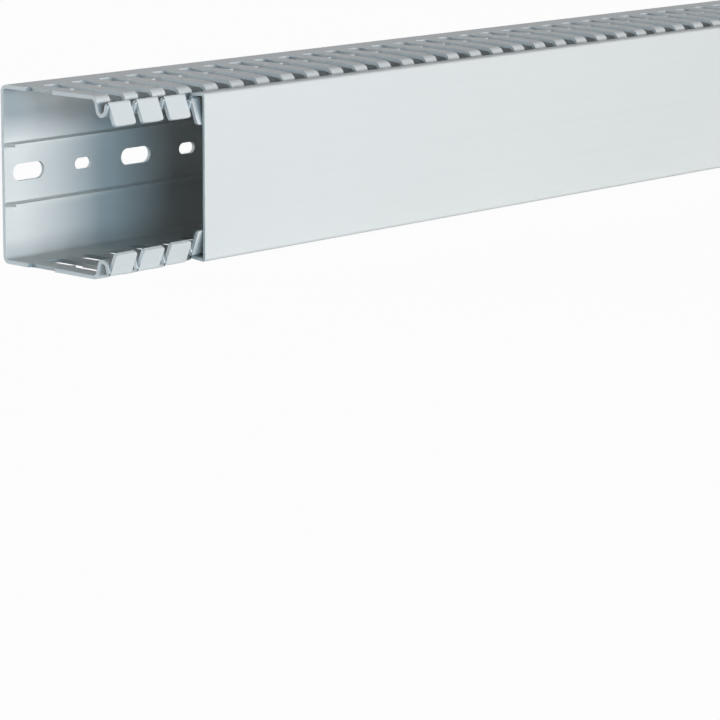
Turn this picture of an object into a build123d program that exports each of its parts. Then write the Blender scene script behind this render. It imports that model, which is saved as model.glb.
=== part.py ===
"""Slotted wire duct: an open channel with slotted side walls and a push-on cover, lying on one side wall.

Millimetres. X runs along the duct, +Y points to the base (the mounting face), -Y to the cover, +Z is up.
"""

import os

from build123d import *

# Length of the stock, and how far the cover has been pushed along it
duct_length = 500.0
cover_offset = 39.0
cover_length = duct_length

# Outside size of the closed duct and the thickness of its two extruded skins
duct_width = 60.0
duct_depth = 55.0
duct_skin = 1.3
cover_skin = 1.0
base_corner_radius = 2.5

# Catch profile at the front of each finger: setbacks from the cover's face, insets from the wall's outer face.
# The shoulder is given as the sharp corner before it is rounded
shoulder_setback = 9.6
shoulder_radius = 2.6
groove_near_setback = 8.1
groove_far_setback = 6.3
groove_inset = 5.8
ridge_setback = 4.8
ridge_inset = 2.0
tip_clearance = 0.3
tip_inset = 9.6

# Cover: two flanges over the ridges, each with a lip that catches behind them
flange_clearance = 0.2
flange_length = 7.3
lip_inset = 2.6
lip_forward = 0.4
cover_corner_radius = 1.2

# Two low ribs on the inner face of the base
rib_spacing = 20.0
rib_height = 5.3
rib_thickness = 0.9

# Punched finger pattern, the same in both side walls
finger_pitch = 12.5
finger_neck = 6.0
head_width = 10.0
head_corner_cut = 0.9
head_overlap = 0.5
slot_rear_depth = 12.0
slot_jog_depth = 25.5
slot_jog_shift = 1.3
slot_corner_cut = 1.3
cutter_overrun = 2.0

# Mounting slots down the middle of the base, large and small by turns
hole_pitch = 2 * finger_pitch
first_hole = 10.5
large_slot_length = 14.0
large_slot_width = 5.6
small_slot_length = 7.4
small_slot_width = 3.8

# Values that follow from the ones above
half_width = duct_width / 2
back = duct_depth / 2
start = -(duct_length + cover_offset) / 2
finger_count = round(duct_length / finger_pitch)
hole_pairs = round(duct_length / (2 * hole_pitch))
shoulder_depth = duct_depth - shoulder_setback
groove_near_depth = duct_depth - groove_near_setback
groove_far_depth = duct_depth - groove_far_setback
ridge_depth = duct_depth - ridge_setback
tip_depth = duct_depth - cover_skin - tip_clearance
neck_end_depth = ridge_depth - head_overlap
slot_width = finger_pitch - finger_neck
flange_face = half_width - ridge_inset + flange_clearance + cover_skin
flange_rear = duct_depth - flange_length

# Section planes look along the duct: first axis along +Y, second axis up
duct_end = Plane(origin=(start, 0, half_width), x_dir=(0, 1, 0), z_dir=(1, 0, 0))
cover_end = Plane(origin=(start + cover_offset, 0, half_width), x_dir=(0, 1, 0), z_dir=(1, 0, 0))
# Punching planes: from above with the second axis along +Y, and square to the base with it up
wall_punch = Plane(origin=(start, back, half_width), x_dir=(1, 0, 0), z_dir=(0, 0, 1))
base_punch = Plane(origin=(start, back, half_width), x_dir=(1, 0, 0), z_dir=(0, -1, 0))


def mirrored(half):
    """Both halves of a section face, from the opposite free end to the given one."""
    opposite = [(depth, -height, radius) for depth, height, radius in reversed(half)]
    return opposite + half


def sheet(half, thickness):
    """Closed outline and corner radii of a bent sheet, from one half of its outer face.

    The half is the upper one of an open channel or the lower one of a cover, so that the face is followed
    with the sheet on its left. Each corner is (depth from the base's back, height above the middle, radius).
    The inner face runs parallel to the outer one, with its corners left sharp.
    """
    corners = mirrored(half)
    face = [Vector(back - depth, height) for depth, height, _ in corners]
    runs = [(end - begin).normalized() for begin, end in zip(face, face[1:])]
    inward = [Vector(-run.Y, run.X) for run in runs]
    inner = [face[0] + inward[0] * thickness]
    for point, before, after in zip(face[1:], inward, inward[1:]):
        inner.append(point + (before + after) * (thickness / (1 + before.dot(after))))
    inner.append(face[-1] + inward[-1] * thickness)
    radii = [radius for _, _, radius in corners] + [0] * len(inner)
    return face + inner[::-1], radii


channel_half = [
    (0, half_width, base_corner_radius),
    (shoulder_depth, half_width, shoulder_radius),
    (groove_near_depth, half_width - groove_inset, 0),
    (groove_far_depth, half_width - groove_inset, 0),
    (ridge_depth, half_width - ridge_inset, 0),
    (tip_depth, half_width - tip_inset, 0),
]
cover_half = [
    (duct_depth, -flange_face, cover_corner_radius),
    (flange_rear, -flange_face, 0),
    (flange_rear + lip_forward, -(flange_face - lip_inset), 0),
]

# Plan of one slot between two fingers, punched in two strokes. The rear one is set over along the duct, and
# their cut corners leave a narrow waist where they meet, where a finger is broken off for a wide opening
with BuildSketch() as front_punch:
    with Locations((finger_neck, -neck_end_depth)):
        Rectangle(slot_width, neck_end_depth - slot_jog_depth, align=Align.MIN)
    chamfer(front_punch.vertices().group_by(Axis.Y)[-1].sort_by(Axis.X)[0], slot_corner_cut)

with BuildSketch() as rear_punch:
    with Locations((finger_neck + slot_jog_shift, -slot_jog_depth)):
        Rectangle(slot_width, slot_jog_depth - slot_rear_depth, align=Align.MIN)
    chamfer(rear_punch.vertices(), slot_corner_cut)

# Front view of one head, from the wall's outer face inwards
with BuildSketch() as head:
    Rectangle(head_width, 2 * tip_inset, align=(Align.MIN, Align.CENTER))
    chamfer(head.vertices(), head_corner_cut)

slot_places = [(step * finger_pitch, 0) for step in range(-1, finger_count)]
head_places = [(step * finger_pitch, 0) for step in range(finger_count)]
large_places = [(first_hole + step * 2 * hole_pitch, 0) for step in range(hole_pairs)]
small_places = [(first_hole + (step * 2 + 1) * hole_pitch, 0) for step in range(hole_pairs)]

with BuildPart() as duct:
    # Channel with the catch profile along both front edges, and the two ribs on the base
    with BuildSketch(duct_end):
        with BuildLine():
            outline, radii = sheet(channel_half, duct_skin)
            FilletPolyline(*outline, radius=radii, close=True)
        make_face()
        with Locations((back - duct_skin, 0)), GridLocations(0, rib_spacing, 1, 2):
            Rectangle(rib_height, rib_thickness, align=(Align.MAX, Align.CENTER))
    extrude(amount=duct_length)

    # Slots between the finger necks, punched through both walls; one is sawn through at each end
    with BuildSketch(wall_punch):
        with Locations(*slot_places):
            add(front_punch.sketch)
            add(rear_punch.sketch)
    extrude(amount=duct_width, both=True, mode=Mode.SUBTRACT)

    # Gaps between the wider heads, which leave their free corners cut off
    with BuildSketch(base_punch.offset(neck_end_depth)):
        with Locations((-cutter_overrun, 0)):
            Rectangle(
                duct_length + 2 * cutter_overrun,
                duct_width + 2 * cutter_overrun,
                align=(Align.MIN, Align.CENTER),
            )
        with Locations(*head_places), GridLocations(0, duct_width, 1, 2):
            add(head.sketch, mode=Mode.SUBTRACT)
    extrude(amount=duct_depth, mode=Mode.SUBTRACT)

    # Mounting slots through the base
    with BuildSketch(base_punch):
        with Locations(*large_places):
            SlotOverall(large_slot_length, large_slot_width)
        with Locations(*small_places):
            SlotOverall(small_slot_length, small_slot_width)
    extrude(amount=duct_skin, mode=Mode.SUBTRACT)

with BuildPart() as cover:
    # Flat cover with a flange and a catching lip along each edge
    with BuildSketch(cover_end):
        with BuildLine():
            outline, radii = sheet(cover_half, cover_skin)
            FilletPolyline(*outline, radius=radii, close=True)
        make_face()
    extrude(amount=cover_length)

os.makedirs("parts", exist_ok=True)
duct.part.label = "duct"
cover.part.label = "cover"
export_step(duct.part, "parts/duct.step")
export_step(cover.part, "parts/cover.step")
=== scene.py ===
"""Looks of the slotted wire duct with its cover pushed part of the way along.

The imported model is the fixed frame. Both pieces are drawn again from the same section and punching sizes,
with the rounded bends of the real extrusions and slightly broken edges. The fingers stand as they do on the
real one: those that the cover has left are sprung outwards and those under it are pressed in.

Sizes inside the classes are millimetres in the duct's own frame: X from its sawn end, Y from the base's back
towards the cover as a negative number, Z up and down from its middle line.
"""

import logging
import math
from dataclasses import dataclass
from enum import Enum
from typing import ClassVar

import bmesh
import bpy
from mathutils import Matrix, Vector


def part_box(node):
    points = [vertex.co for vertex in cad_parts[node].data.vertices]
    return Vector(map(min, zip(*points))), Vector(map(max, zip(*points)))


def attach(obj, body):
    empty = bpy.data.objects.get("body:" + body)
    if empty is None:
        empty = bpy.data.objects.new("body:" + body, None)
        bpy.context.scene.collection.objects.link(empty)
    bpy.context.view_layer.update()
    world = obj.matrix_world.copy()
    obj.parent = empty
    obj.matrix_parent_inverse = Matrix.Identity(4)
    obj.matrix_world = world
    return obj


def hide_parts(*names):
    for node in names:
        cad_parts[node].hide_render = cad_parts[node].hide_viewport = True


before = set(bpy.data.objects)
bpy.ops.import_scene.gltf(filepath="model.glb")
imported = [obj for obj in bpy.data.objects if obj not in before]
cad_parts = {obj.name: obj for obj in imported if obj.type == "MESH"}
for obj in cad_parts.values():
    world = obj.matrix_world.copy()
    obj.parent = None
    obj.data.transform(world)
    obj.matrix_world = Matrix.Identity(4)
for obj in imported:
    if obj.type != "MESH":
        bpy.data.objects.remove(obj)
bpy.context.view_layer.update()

log = logging.getLogger("wire_duct")

# A millimetre in metres, and the distance in millimetres within which two points are one
MM = 0.001
WELD = 0.002


def linear(code: str) -> tuple[float, float, float, float]:
    """Turn an sRGB colour into the linear one that shaders take.

    Args:
        code: the colour as six hexadecimal digits.

    Returns:
        Linear red, green, blue and an alpha of 1.
    """
    values = [int(code[place:place + 2], 16) / 255 for place in (0, 2, 4)]
    return (*[v / 12.92 if v <= 0.04045 else ((v + 0.055) / 1.055) ** 2.4 for v in values], 1.0)


def clear_tree(owner: bpy.types.Material | bpy.types.World) -> bpy.types.NodeTree:
    """Give a material or a world an empty node tree.

    Args:
        owner: the material or world.

    Returns:
        The empty tree.
    """
    owner.use_nodes = True
    owner.node_tree.nodes.clear()
    return owner.node_tree


def add_node(tree: bpy.types.NodeTree, kind: str, settings: dict | None = None,
             links: dict | None = None) -> bpy.types.Node:
    """Add one node to a tree, with its settings and what feeds it.

    Args:
        tree: the node tree.
        kind: the node's type name.
        settings: property names, or the names or numbers of inputs, with their values.
        links: the names or numbers of inputs, with the output sockets that feed them.

    Returns:
        The new node.
    """
    node = tree.nodes.new(kind)
    for name, value in (settings or {}).items():
        if isinstance(name, str) and hasattr(node, name):
            setattr(node, name, value)
        else:
            node.inputs[name].default_value = value
    for name, socket in (links or {}).items():
        tree.links.new(socket, node.inputs[name])
    return node


@dataclass(frozen=True)
class ExtrudedSkin:
    """Rigid PVC as it leaves the die: satin, pale grey, with faint lines drawn along its length.

    It gives the eye broad soft highlights, clouds a shade apart, and lines that show only where light grazes.
    """

    name: str
    colour: str
    deep_colour: str
    ior: float = 1.53
    # Mean roughness, and how far the lines polish it or dull it
    roughness: float = 0.42
    polished_by: float = 0.02
    dulled_by: float = 0.03
    # Real die lines and grain are some ten times finer, and are drawn as coarse as they need to be to show
    line_spacing_mm: float = 2.2
    line_length_mm: float = 1250.0
    line_relief_mm: float = 0.006
    grain_mm: float = 0.45
    grain_share: float = 0.25
    clouds_per_metre: float = 9.0
    line_share: float = 0.5

    def material(self) -> bpy.types.Material:
        """Make the material.

        Returns:
            The material, with its pattern in object coordinates.
        """
        material = bpy.data.materials.new(self.name)
        tree = clear_tree(material)
        place = add_node(tree, "ShaderNodeTexCoord").outputs["Object"]
        # Die lines: noise drawn out so far along X that it only changes across the section
        along, across = 1 / (self.line_length_mm * MM), 1 / (self.line_spacing_mm * MM)
        drawn_out = add_node(tree, "ShaderNodeMapping", {"Scale": (along, across, across)},
                             {"Vector": place}).outputs["Vector"]
        lines = add_node(tree, "ShaderNodeTexNoise", {"Scale": 1.0, "Detail": 3.0, "Roughness": 0.6},
                         {"Vector": drawn_out}).outputs["Fac"]
        grain = add_node(tree, "ShaderNodeTexNoise", {"Scale": 1 / (self.grain_mm * MM), "Detail": 2.0},
                         {"Vector": place}).outputs["Fac"]
        clouds = add_node(tree, "ShaderNodeTexNoise", {"Scale": self.clouds_per_metre, "Detail": 2.0},
                          {"Vector": place}).outputs["Fac"]
        tone = add_node(tree, "ShaderNodeMath", {"operation": "MULTIPLY_ADD", 1: self.line_share},
                        {0: lines, 2: clouds}).outputs[0]
        # The sum lies round 0.75, the middle of this range
        shade = add_node(tree, "ShaderNodeMapRange", {"From Min": 0.45, "From Max": 1.05},
                         {"Value": tone}).outputs["Result"]
        colour = add_node(tree, "ShaderNodeMix", {"data_type": "RGBA", 6: linear(self.colour),
                          7: linear(self.deep_colour)}, {"Factor": shade}).outputs[2]
        gloss = add_node(tree, "ShaderNodeMapRange", {"From Min": 0.3, "From Max": 0.7,
                         "To Min": self.roughness - self.polished_by,
                         "To Max": self.roughness + self.dulled_by}, {"Value": lines}).outputs["Result"]
        height = add_node(tree, "ShaderNodeMath", {"operation": "MULTIPLY_ADD", 1: self.grain_share},
                          {0: grain, 2: lines}).outputs[0]
        bump = add_node(tree, "ShaderNodeBump", {"Strength": 0.6, "Distance": self.line_relief_mm * MM},
                        {"Height": height}).outputs["Normal"]
        shader = add_node(tree, "ShaderNodeBsdfPrincipled", {"IOR": self.ior},
                          {"Base Color": colour, "Roughness": gloss, "Normal": bump}).outputs["BSDF"]
        add_node(tree, "ShaderNodeOutputMaterial", {}, {"Surface": shader})
        return material


@dataclass(frozen=True)
class CutEdge:
    """Rigid PVC where a tool went through it.

    It gives the eye a dull face with fine torn streaks, paler than the skin where it is sawn, because the
    saw leaves it rough. A greyer copy on the walls of the punched slots is painted shade.
    """

    name: str
    colour: str
    deep_colour: str
    ior: float = 1.53
    roughness: float = 0.62
    # Real tears are finer still, and are drawn as coarse as they need to be to show
    streak_mm: float = 0.35
    relief_mm: float = 0.05

    def material(self) -> bpy.types.Material:
        """Make the material.

        Returns:
            The material, with its pattern in object coordinates.
        """
        material = bpy.data.materials.new(self.name)
        tree = clear_tree(material)
        place = add_node(tree, "ShaderNodeTexCoord").outputs["Object"]
        streaks = add_node(tree, "ShaderNodeTexNoise", {"Scale": 1 / (self.streak_mm * MM), "Detail": 3.0},
                           {"Vector": place}).outputs["Fac"]
        colour = add_node(tree, "ShaderNodeMix", {"data_type": "RGBA", 6: linear(self.colour),
                          7: linear(self.deep_colour)}, {"Factor": streaks}).outputs[2]
        bump = add_node(tree, "ShaderNodeBump", {"Strength": 0.5, "Distance": self.relief_mm * MM},
                        {"Height": streaks}).outputs["Normal"]
        shader = add_node(tree, "ShaderNodeBsdfPrincipled", {"IOR": self.ior, "Roughness": self.roughness},
                          {"Base Color": colour, "Normal": bump}).outputs["BSDF"]
        add_node(tree, "ShaderNodeOutputMaterial", {}, {"Surface": shader})
        return material


class Surface(Enum):
    """Which of a piece's materials a face wears."""

    SKIN = 0
    SAWN = 1
    # Walls of the punched slots, which wear a greyer copy of the cut edge as painted shade
    SLOT_WALL_PAINTED_SHADE = 2


@dataclass(frozen=True)
class Corner:
    """A corner of a sheet's outer face, before it is rounded."""

    depth: float
    height: float
    radius: float = 0.0


@dataclass(frozen=True)
class Punch:
    """A rectangle taken out of a wall at every pitch, by its span along the duct and in depth."""

    left: float
    right: float
    rear: float
    front: float

    def holds(self, along: float, depth: float, pitch: float) -> bool:
        """Tell whether a point at that place along the duct and in depth is punched away."""
        return (along - self.left) % pitch < self.right - self.left and self.rear < depth < self.front


class SheetPiece:
    """What both extruded pieces share: a drawn sheet that gets a thickness, broken edges and its finish."""

    # Faces round a bend, round a punched corner and across a broken edge
    bend_steps: ClassVar[int] = 6
    corner_steps: ClassVar[int] = 5
    edge_steps: ClassVar[int] = 2
    # Turns between two faces: flat up to the first, broken from the second, shaded as sharp from the third
    flat_deg: ClassVar[float] = 0.3
    broken_deg: ClassVar[float] = 40.0
    sharp_deg: ClassVar[float] = 50.0

    @staticmethod
    def everything(mesh: bmesh.types.BMesh) -> list:
        """Give a mesh's vertices, edges and faces together."""
        return [*mesh.verts, *mesh.edges, *mesh.faces]

    @staticmethod
    def verts_among(items: list) -> list[bmesh.types.BMVert]:
        """Give the vertices among what an operator has made."""
        return [item for item in items if isinstance(item, bmesh.types.BMVert)]

    @classmethod
    def draw(cls, corners: list[Corner], begin: float, end: float) -> bmesh.types.BMesh:
        """Draw a section out along the duct as a sheet without thickness.

        Args:
            corners: the upper half of the section's outer face, from the middle line to its free edge.
            begin: where the sheet begins along the duct.
            end: where it ends.

        Returns:
            The sheet.
        """
        sheet = bmesh.new()
        points = [sheet.verts.new((begin, -corner.depth, corner.height)) for corner in corners]
        for point, following in zip(points, points[1:]):
            sheet.edges.new((point, following))
        for point, corner in zip(points, corners):
            if corner.radius:
                before, after = (edge.other_vert(point).co - point.co for edge in point.link_edges)
                turn = math.pi - before.angle(after)
                bmesh.ops.bevel(sheet, geom=[point], offset=corner.radius * math.tan(turn / 2),
                                offset_type="OFFSET", segments=cls.bend_steps, profile=0.5,
                                affect="VERTICES", material=-1)
        bmesh.ops.remove_doubles(sheet, verts=sheet.verts[:], dist=WELD)
        drawn = bmesh.ops.extrude_edge_only(sheet, edges=sheet.edges[:])["geom"]
        bmesh.ops.translate(sheet, vec=(end - begin, 0, 0), verts=cls.verts_among(drawn))
        return sheet

    @staticmethod
    def cut(sheet: bmesh.types.BMesh, faces: list[bmesh.types.BMFace], point: tuple, normal: tuple) -> None:
        """Cut the given faces along a plane.

        Args:
            sheet: the mesh.
            faces: the faces that the plane may cut.
            point: a point on the plane.
            normal: the plane's normal.
        """
        edges = {edge for face in faces for edge in face.edges}
        verts = {vert for face in faces for vert in face.verts}
        bmesh.ops.bisect_plane(sheet, geom=[*faces, *edges, *verts], dist=WELD, plane_co=point,
                               plane_no=normal)

    @classmethod
    def thicken(cls, sheet: bmesh.types.BMesh, skin: float) -> None:
        """Mirror a half sheet about the middle line and give it its thickness, inwards from its outer face.

        Where a bend's radius is less than the thickness, as at the ridges and the lips, the inner side
        crosses itself inside the sheet.

        Args:
            sheet: the upper half of the sheet's outer face.
            skin: the sheet's thickness.
        """
        bmesh.ops.mirror(sheet, geom=cls.everything(sheet), matrix=Matrix.Identity(4), merge_dist=WELD,
                         axis="Z")
        bmesh.ops.recalc_face_normals(sheet, faces=sheet.faces[:])
        top = max(sheet.faces, key=lambda face: face.calc_center_median().z)
        if top.normal.z < 0:
            bmesh.ops.reverse_faces(sheet, faces=sheet.faces[:])
        outer = set(sheet.verts)
        bmesh.ops.solidify(sheet, geom=sheet.faces[:], thickness=skin)
        for face in sheet.faces:
            inside = [vert not in outer for vert in face.verts]
            if any(inside) and not all(inside):
                face.material_index = Surface.SAWN.value

    @classmethod
    def break_edges(cls, mesh: bmesh.types.BMesh, width: float) -> None:
        """Break every sharp edge by a small round.

        The tightest place holds back all the rounds of a piece, so that they come out at 0.007 mm on the
        duct and at most 0.08 mm on the cover.

        Args:
            mesh: the thick piece.
            width: how far the round reaches from the edge where nothing holds it back.
        """
        least_turn = math.radians(cls.broken_deg)
        sharp = [edge for edge in mesh.edges
                 if len(edge.link_faces) == 2 and edge.calc_face_angle() > least_turn]
        bmesh.ops.bevel(mesh, geom=sharp, offset=width, offset_type="OFFSET", segments=cls.edge_steps,
                        profile=0.5, affect="EDGES", clamp_overlap=True, material=-1)

    @classmethod
    def finish(cls, mesh: bmesh.types.BMesh, name: str, origin: Vector,
               materials: list[bpy.types.Material]) -> bpy.types.Object:
        """Turn a mesh into a piece in the frame, smooth where it is bent and crisp where it is cut.

        Args:
            mesh: the piece in millimetres, which is freed.
            name: the piece's name.
            origin: where the duct's own origin lies in the frame, in metres.
            materials: the piece's materials, in the order of Surface.

        Returns:
            The new object.
        """
        bmesh.ops.remove_doubles(mesh, verts=mesh.verts[:], dist=WELD)
        into_frame = Matrix.Translation(origin) @ Matrix.Scale(MM, 4)
        bmesh.ops.transform(mesh, matrix=into_frame, verts=mesh.verts[:])
        for face in mesh.faces:
            face.smooth = True
        data = bpy.data.meshes.new(name)
        mesh.to_mesh(data)
        mesh.free()
        data.set_sharp_from_angle(angle=math.radians(cls.sharp_deg))
        for material in materials:
            data.materials.append(material)
        piece = bpy.data.objects.new(name, data)
        bpy.context.scene.collection.objects.link(piece)
        weighted = piece.modifiers.new("flat_faces_stay_flat", "WEIGHTED_NORMAL")
        weighted.keep_sharp = True
        return piece


@dataclass
class SlottedChannel(SheetPiece):
    """The duct's open channel: base, two ribs, and two walls punched into fingers with a catch profile."""

    # Outside size and thickness
    length: float = 500.0
    half_width: float = 30.0
    depth: float = 55.0
    skin: float = 1.3
    base_radius: float = 2.5
    # Catch profile: setbacks from the cover's face, insets from the wall's outer face, and its rounds
    shoulder_setback: float = 9.6
    shoulder_radius: float = 2.6
    groove_near_setback: float = 8.1
    groove_far_setback: float = 6.3
    groove_inset: float = 5.8
    groove_radius: float = 1.15
    ridge_setback: float = 4.8
    ridge_sharp_inset: float = 0.86
    ridge_radius: float = 0.75
    tip_setback: float = 1.25
    tip_inset: float = 9.5
    # Two ribs on the base
    rib_offset: float = 10.0
    rib_height: float = 5.3
    rib_thickness: float = 0.9
    # Punched fingers: widths along the duct, depths from the base's back, and the rounds of their corners
    pitch: float = 12.5
    neck: float = 6.0
    head: float = 9.5
    head_shift: float = 0.6
    head_depth: float = 49.7
    rear_depth: float = 12.0
    waist_rear: float = 25.0
    waist_front: float = 26.0
    shift: float = 1.3
    rear_round: float = 1.7
    waist_round: float = 1.2
    head_round: float = 1.0
    # Mounting slots, large and small by turns at every second finger, by length and width
    first_hole: float = 10.8
    large_slot: tuple[float, float] = (14.2, 5.8)
    small_slot: tuple[float, float] = (7.8, 4.0)
    edge_round: float = 0.16
    # Depths that get a row of points to bend at, how far each free finger of a wall stands out at its ridge
    # from the duct's left end on, how far the others are pressed in, and how late in depth the bend sets in
    bend_depths: tuple[float, ...] = (31.0, 37.0)
    upper_spring: tuple[float, ...] = (0.34, 0.3, 0.1)
    lower_spring: tuple[float, ...] = (0.34, 0.34, 0.1)
    held_in: float = -1.7
    bend_power: float = 5.5

    def corners(self) -> list[Corner]:
        """Give the section's outer face.

        Returns:
            The corners of its upper half, from the base's middle to a finger's tip.
        """
        depth, side = self.depth, self.half_width
        return [
            Corner(0, 0),
            Corner(0, side, self.base_radius),
            Corner(depth - self.shoulder_setback, side, self.shoulder_radius),
            Corner(depth - self.groove_near_setback, side - self.groove_inset, self.groove_radius),
            Corner(depth - self.groove_far_setback, side - self.groove_inset, self.groove_radius),
            Corner(depth - self.ridge_setback, side - self.ridge_sharp_inset, self.ridge_radius),
            Corner(depth - self.tip_setback, side - self.tip_inset),
        ]

    def punches(self) -> list[Punch]:
        """Give what is punched out of a wall at every pitch.

        Returns:
            The rear slot, the waist, the front slot and the gap between two heads.
        """
        return [
            Punch(self.neck + self.shift, self.pitch + self.shift, self.rear_depth, self.waist_rear),
            Punch(self.neck + 2 * self.shift, self.pitch, self.waist_rear, self.waist_front),
            Punch(self.neck, self.pitch, self.waist_front, self.head_depth),
            Punch(self.head + self.head_shift, self.pitch + self.head_shift, self.head_depth, self.depth),
        ]

    def hole_pitch(self) -> float:
        """Give the distance between neighbouring mounting slots, which is two fingers."""
        return 2 * self.pitch

    def period(self) -> float:
        """Give the length after which the whole pattern repeats: a large and a small mounting slot."""
        return 2 * self.hole_pitch()

    def seam(self) -> float:
        """Give where one repeat meets the next: inside a neck, clear of every punched edge."""
        return self.hole_pitch() + self.shift / 2 + self.neck / 2

    def wall_faces(self, sheet: bmesh.types.BMesh) -> list[bmesh.types.BMFace]:
        """Give the faces of the wall and the catch profile."""
        return [face for face in sheet.faces if -face.calc_center_median().y > self.base_radius]

    @staticmethod
    def base_faces(sheet: bmesh.types.BMesh) -> list[bmesh.types.BMFace]:
        """Give the faces of the base."""
        return [face for face in sheet.faces if face.calc_center_median().y > -WELD]

    def punch_walls(self, sheet: bmesh.types.BMesh, begin: float, end: float) -> None:
        """Cut the finger pattern out of the wall and the catch profile, with its corners still square.

        Args:
            sheet: one repeat of the half sheet.
            begin: where the repeat begins along the duct.
            end: where it ends.
        """
        punches = self.punches()
        sides = [side for punch in punches for side in (punch.left, punch.right)]
        # Rounded, so that two sides at one place are cut once
        places = sorted({round(side % self.pitch, 6) for side in sides})
        for step in range(math.floor(begin / self.pitch), math.ceil(end / self.pitch) + 1):
            for place in places:
                if begin < step * self.pitch + place < end:
                    self.cut(sheet, self.wall_faces(sheet), (step * self.pitch + place, 0, 0), (1, 0, 0))
        for depth in (self.rear_depth, self.waist_rear, self.waist_front, self.head_depth):
            self.cut(sheet, self.wall_faces(sheet), (0, -depth, 0), (0, 1, 0))
        gone = []
        for face in sheet.faces:
            middle = face.calc_center_median()
            if any(punch.holds(middle.x, -middle.y, self.pitch) for punch in punches):
                gone.append(face)
        bmesh.ops.delete(sheet, geom=gone, context="FACES")

    def punch_base(self, sheet: bmesh.types.BMesh, begin: float, end: float) -> None:
        """Cut half of each mounting slot out of the upper half of the base, with its corners still square.

        Args:
            sheet: one repeat of the half sheet.
            begin: where the repeat begins along the duct.
            end: where it ends.
        """
        period = self.period()
        for number, (length, width) in enumerate((self.large_slot, self.small_slot)):
            first = self.first_hole + number * self.hole_pitch()
            for step in range(math.floor(begin / period), math.ceil(end / period)):
                middle = first + step * period
                if begin < middle < end:
                    self.punch_slot(sheet, middle, length, width)

    def punch_slot(self, sheet: bmesh.types.BMesh, middle: float, length: float, width: float) -> None:
        """Cut half of one mounting slot out of the base.

        Args:
            sheet: the half sheet.
            middle: the slot's middle along the duct.
            length: the slot's length.
            width: the slot's width.
        """
        for place in (middle - length / 2, middle + length / 2):
            self.cut(sheet, self.base_faces(sheet), (place, 0, 0), (1, 0, 0))
        self.cut(sheet, self.base_faces(sheet), (0, 0, width / 2), (0, 0, 1))
        gone = []
        for face in self.base_faces(sheet):
            centre = face.calc_center_median()
            if abs(centre.x - middle) < length / 2 and centre.z < width / 2:
                gone.append(face)
        bmesh.ops.delete(sheet, geom=gone, context="FACES")

    def round_corners(self, sheet: bmesh.types.BMesh) -> None:
        """Round the corners that the punches leave in the wall, the base and the heads.

        Args:
            sheet: one repeat of the half sheet, punched square.
        """
        left, right = self.neck, self.pitch
        tip = self.depth - self.tip_setback
        groups = {
            self.rear_round: [(left + self.shift, self.rear_depth), (right + self.shift, self.rear_depth)],
            self.waist_round: [(left, self.waist_front), (left + self.shift, self.waist_rear),
                               (right + self.shift, self.waist_rear)],
            self.head_round: [(self.head_shift, tip), (self.head_shift + self.head, tip)],
        }
        for radius, corners in groups.items():
            # A corner counts wherever it lies a whole number of pitches away
            verts = [vert for vert in sheet.verts for along, depth in corners
                     if abs(vert.co.y + depth) < WELD
                     and abs((vert.co.x - along + self.pitch / 2) % self.pitch - self.pitch / 2) < WELD]
            self.round_off(sheet, verts, radius)
        for _, width in (self.large_slot, self.small_slot):
            verts = [vert for vert in sheet.verts
                     if vert.is_boundary and vert.co.y > -WELD and abs(vert.co.z - width / 2) < WELD]
            self.round_off(sheet, verts, width / 2 - WELD)

    @classmethod
    def round_off(cls, sheet: bmesh.types.BMesh, verts: list[bmesh.types.BMVert], radius: float) -> None:
        """Round square corners of a sheet in its own plane."""
        bmesh.ops.bevel(sheet, geom=verts, offset=radius, offset_type="OFFSET", segments=cls.corner_steps,
                        profile=0.5, affect="VERTICES", clamp_overlap=True, material=-1)

    def build(self) -> bmesh.types.BMesh:
        """Build the channel's mesh.

        Returns:
            The closed mesh in millimetres.
        """
        sheet = self.punched_repeat()
        self.repeat_along(sheet)
        for depth in self.bend_depths:
            self.cut(sheet, sheet.faces[:], (0, -depth, 0), (0, 1, 0))
        self.thicken(sheet, self.skin)
        self.mark_slot_walls_in_painted_shade(sheet)
        self.raise_ribs(sheet)
        self.bend_fingers(sheet)
        self.break_edges(sheet, self.edge_round)
        return sheet

    def punched_repeat(self) -> bmesh.types.BMesh:
        """Draw and punch one repeat of the half sheet, with the ribs' strips marked on its base.

        Returns:
            The sheet without thickness.
        """
        begin, end = self.seam(), self.seam() + self.period()
        sheet = self.draw(self.corners(), begin, end)
        self.punch_walls(sheet, begin, end)
        self.punch_base(sheet, begin, end)
        bmesh.ops.dissolve_limit(sheet, angle_limit=math.radians(self.flat_deg), verts=sheet.verts[:],
                                 edges=sheet.edges[:], use_dissolve_boundaries=False, delimit={"NORMAL"})
        self.round_corners(sheet)
        for side in (-1, 1):
            self.cut(sheet, self.base_faces(sheet), (0, 0, self.rib_offset + side * self.rib_thickness / 2),
                     (0, 0, 1))
        return sheet

    def repeat_along(self, sheet: bmesh.types.BMesh) -> None:
        """Repeat the punched sheet along the whole length and saw it off square at both ends.

        Args:
            sheet: one repeat of the half sheet.
        """
        unit = self.everything(sheet)
        first = math.floor(-self.seam() / self.period())
        for step in range(first, math.ceil((self.length - self.seam()) / self.period())):
            copied = bmesh.ops.duplicate(sheet, geom=unit)["geom"]
            bmesh.ops.translate(sheet, vec=(step * self.period(), 0, 0), verts=self.verts_among(copied))
        bmesh.ops.delete(sheet, geom=self.verts_among(unit), context="VERTS")
        bmesh.ops.remove_doubles(sheet, verts=sheet.verts[:], dist=WELD)
        for place, outward in ((0.0, -1), (self.length, 1)):
            bmesh.ops.bisect_plane(sheet, geom=self.everything(sheet), dist=WELD, plane_co=(place, 0, 0),
                                   plane_no=(outward, 0, 0), clear_outer=True)

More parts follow.
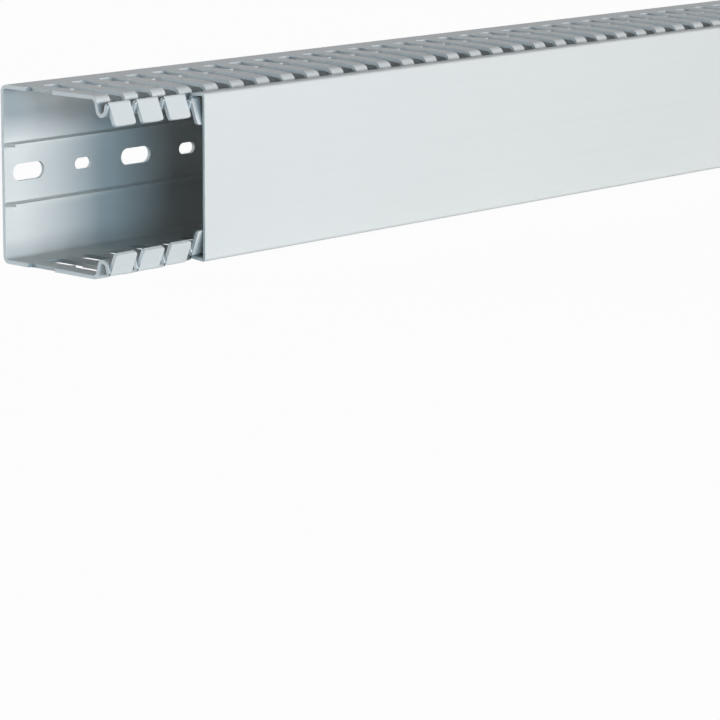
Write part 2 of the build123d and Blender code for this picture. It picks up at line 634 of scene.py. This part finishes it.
    def mark_slot_walls_in_painted_shade(self, mesh: bmesh.types.BMesh) -> None:
        """Paint the walls of the slots a greyer colour as painted shade, apart from the sawn ends and the
        heads' sides.

        Args:
            mesh: the thick channel, with all its cut faces marked as sawn.
        """
        for face in mesh.faces:
            middle = face.calc_center_median()
            between_ends = WELD < middle.x < self.length - WELD
            if face.material_index == Surface.SAWN.value and between_ends and -middle.y < self.head_depth:
                face.material_index = Surface.SLOT_WALL_PAINTED_SHADE.value

    def raise_ribs(self, mesh: bmesh.types.BMesh) -> None:
        """Raise the two ribs from their strips on the base's inner face.

        Args:
            mesh: the thick channel.
        """
        strips = [face for face in mesh.faces
                  if abs(face.calc_center_median().y + self.skin) < WELD
                  and abs(abs(face.calc_center_median().z) - self.rib_offset) < self.rib_thickness / 2]
        raised = bmesh.ops.extrude_face_region(mesh, geom=strips)["geom"]
        bmesh.ops.translate(mesh, vec=(0, -self.rib_height, 0), verts=self.verts_among(raised))
        bmesh.ops.delete(mesh, geom=[face for face in strips if face.is_valid], context="FACES")

    def bend_fingers(self, mesh: bmesh.types.BMesh) -> None:
        """Let the fingers that the cover has left spring outwards, and press in those that it covers.

        Args:
            mesh: the thick channel, with straight fingers.
        """
        ridge_depth = self.depth - self.ridge_setback
        for vert in mesh.verts:
            along, depth, height = vert.co.x, -vert.co.y, vert.co.z
            finger = int(along // self.pitch)
            free = self.upper_spring if height > 0 else self.lower_spring
            outward = free[finger] if 0 <= finger < len(free) else self.held_in
            if depth > self.rear_depth:
                share = ((depth - self.rear_depth) / (ridge_depth - self.rear_depth)) ** self.bend_power
                vert.co.z += math.copysign(1, height) * outward * share


@dataclass
class PushOnCover(SheetPiece):
    """The cover: a flat face with two flanges, each with a lip that catches behind the ridges."""

    # Outside size and thickness, and how far along the duct it stands
    length: float = 500.0
    offset: float = 40.0
    depth: float = 55.0
    skin: float = 1.0
    # Flanges that lean in, and the lips along them
    flange_face: float = 28.25
    flange_lean: float = 0.65
    flange_length: float = 7.3
    lip_inset: float = 2.6
    lip_forward: float = 0.4
    corner_radius: float = 1.2
    lip_radius: float = 0.35
    edge_round: float = 0.14
    # Faint lines that the die leaves along the face, one in the middle and one near each edge
    line_height: float = 26.5
    line_width: float = 0.5
    line_depth: float = 0.05

    def build(self) -> bmesh.types.BMesh:
        """Build the cover's mesh.

        Returns:
            The closed mesh in millimetres.
        """
        rear = self.depth - self.flange_length
        bottom, reach = self.depth - self.line_depth, self.line_width / 2
        corners = [
            Corner(bottom, 0),
            Corner(self.depth, reach),
            Corner(self.depth, self.line_height - reach),
            Corner(bottom, self.line_height),
            Corner(self.depth, self.line_height + reach),
            Corner(self.depth, self.flange_face, self.corner_radius),
            Corner(rear, self.flange_face - self.flange_lean, self.lip_radius),
            Corner(rear + self.lip_forward, self.flange_face - self.flange_lean - self.lip_inset),
        ]
        sheet = self.draw(corners, self.offset, self.offset + self.length)
        self.thicken(sheet, self.skin)
        self.break_edges(sheet, self.edge_round)
        return sheet


@dataclass(frozen=True)
class SoftLamp:
    """A soft lamp, placed by where it stands as seen from the duct: heading 0 is straight in front of it."""

    name: str
    heading_deg: float
    rise_deg: float
    distance: float
    width: float
    height: float
    level: float
    colour: str = "ffffff"

    def hang(self, aim: Vector) -> bpy.types.Object:
        """Hang the lamp.

        Args:
            aim: the point that it faces, in metres.

        Returns:
            The lamp's object.
        """
        heading, rise = math.radians(self.heading_deg), math.radians(self.rise_deg)
        along_floor = Vector((math.sin(heading), -math.cos(heading), 0))
        towards = along_floor * math.cos(rise) + Vector((0, 0, math.sin(rise)))
        light = bpy.data.lights.new(self.name, "AREA")
        light.shape = "RECTANGLE"
        light.size = self.width
        light.size_y = self.height
        light.color = linear(self.colour)[:3]
        # A white surface that faces the lamp then renders at this level
        light.energy = self.level * (math.pi * self.distance) ** 2
        lamp = bpy.data.objects.new(self.name, light)
        lamp.location = aim + towards * self.distance
        lamp.rotation_euler = towards.to_track_quat("Z", "Y").to_euler()
        bpy.context.scene.collection.objects.link(lamp)
        return lamp


@dataclass
class Studio:
    """A pale floor, a plain soft studio and the camera at the photograph's viewing angle."""

    camera_place: tuple[float, float, float] = (-0.987483, -0.771966, 0.191817)
    heading_deg: float = 48.2946
    dip_deg: float = 11.8602
    roll_deg: float = 0.2979
    lens_mm: float = 162.397
    sensor_mm: float = 36.0
    floor_size: float = 12.0
    floor_colour: str = "e6e8e8"
    # How much of the floor's look is plain white to the camera; the rest is paint, which takes the shadow
    floor_white: float = 0.97
    aim: tuple[float, float, float] = (-0.1, 0.0, 0.03)
    lamps: tuple[SoftLamp, ...] = (
        SoftLamp("key", heading_deg=10.0, rise_deg=6.0, distance=2.2, width=1.5, height=0.4,
                 level=0.83, colour="fffaf8"),
        SoftLamp("fill", heading_deg=-27.0, rise_deg=6.5, distance=1.5, width=0.7, height=0.35,
                 level=0.35, colour="c8eaff"),
        SoftLamp("end", heading_deg=-150.0, rise_deg=9.0, distance=2.2, width=0.9, height=0.6,
                 level=0.62),
        SoftLamp("back", heading_deg=180.0, rise_deg=30.0, distance=2.2, width=1.2, height=1.2,
                 level=0.27, colour="e0efff"),
    )
    sky_strength: float = 0.004
    sky_colour: str = "dfeaf5"

    def floor(self) -> bpy.types.Object:
        """Lay the pale floor, which shows white where nothing shades it.

        Returns:
            The floor's object.
        """
        mesh = bmesh.new()
        bmesh.ops.create_grid(mesh, x_segments=1, y_segments=1, size=self.floor_size / 2)
        data = bpy.data.meshes.new("studio_floor")
        mesh.to_mesh(data)
        mesh.free()
        material = bpy.data.materials.new("painted white floor")
        tree = clear_tree(material)
        ray = add_node(tree, "ShaderNodeLightPath")
        seen = add_node(tree, "ShaderNodeMath", {"operation": "MULTIPLY", 1: self.floor_white},
                        {0: ray.outputs["Is Camera Ray"]})
        paint = add_node(tree, "ShaderNodeBsdfDiffuse", {"Color": linear(self.floor_colour)})
        white = add_node(tree, "ShaderNodeEmission", {"Strength": 1.0})
        both = add_node(tree, "ShaderNodeMixShader", {}, {0: seen.outputs[0], 1: paint.outputs[0],
                        2: white.outputs[0]})
        add_node(tree, "ShaderNodeOutputMaterial", {}, {"Surface": both.outputs[0]})
        data.materials.append(material)
        floor = bpy.data.objects.new("studio_floor", data)
        bpy.context.scene.collection.objects.link(floor)
        return floor

    def sky(self) -> None:
        """Set the faint even light from all round, which the camera and glossy surfaces see as white."""
        world = bpy.data.worlds.new("studio")
        bpy.context.scene.world = world
        tree = clear_tree(world)
        ray = add_node(tree, "ShaderNodeLightPath")
        even = add_node(tree, "ShaderNodeBackground", {"Strength": self.sky_strength,
                                                       "Color": linear(self.sky_colour)})
        white = add_node(tree, "ShaderNodeBackground", {"Strength": 1.0})
        bare = add_node(tree, "ShaderNodeMath", {"operation": "MAXIMUM"},
                        {0: ray.outputs["Is Camera Ray"], 1: ray.outputs["Is Glossy Ray"]})
        both = add_node(tree, "ShaderNodeMixShader", {}, {0: bare.outputs[0], 1: even.outputs[0],
                        2: white.outputs[0]})
        add_node(tree, "ShaderNodeOutputWorld", {}, {"Surface": both.outputs[0]})

    def camera(self) -> None:
        """Set the camera where the photograph was taken from."""
        data = bpy.data.cameras.new("camera")
        data.sensor_width = self.sensor_mm
        data.lens = self.lens_mm
        camera = bpy.data.objects.new("camera", data)
        heading = Matrix.Rotation(math.radians(-self.heading_deg), 4, "Z")
        dip = Matrix.Rotation(math.radians(90 - self.dip_deg), 4, "X")
        roll = Matrix.Rotation(math.radians(self.roll_deg), 4, "Z")
        camera.matrix_world = Matrix.Translation(self.camera_place) @ heading @ dip @ roll
        bpy.context.scene.collection.objects.link(camera)
        bpy.context.scene.camera = camera

    def build(self) -> None:
        """Set up the whole studio."""
        bpy.context.scene.view_settings.view_transform = "Standard"
        self.floor()
        self.sky()
        for lamp in self.lamps:
            lamp.hang(Vector(self.aim))
        self.camera()


def main() -> None:
    """Build each sub-assembly in turn and report it."""
    logging.basicConfig(level=logging.INFO, format="%(name)s: %(message)s")
    low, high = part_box("duct")
    origin = Vector((low.x, high.y, (low.z + high.z) / 2))
    sawn = CutEdge("sawn PVC edge", "eef2f2", "e2e8e8").material()
    # The slot walls wear a greyer copy of the cut edge, which is painted shade; the sawn ends and the heads'
    # sides stay pale
    punched = CutEdge("PVC slot walls in painted shade", "ced4d5", "c0c8c9").material()
    skins = {
        "duct": ExtrudedSkin("extruded rigid PVC of the duct", "d8dad9", "d0d3d2").material(),
        "cover": ExtrudedSkin("extruded rigid PVC of the cover", "d7d8d5", "d2d4d1").material(),
    }
    edges = {"duct": [sawn, punched], "cover": [sawn]}
    for node, maker in (("duct", SlottedChannel()), ("cover", PushOnCover())):
        mesh = maker.build()
        piece = maker.finish(mesh, f"{node}_extrusion", origin, [skins[node], *edges[node]])
        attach(piece, node)
        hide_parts(node)
        log.info("%s: %d faces", piece.name, len(piece.data.polygons))
    Studio().build()


if __name__ == "__main__":
    main()
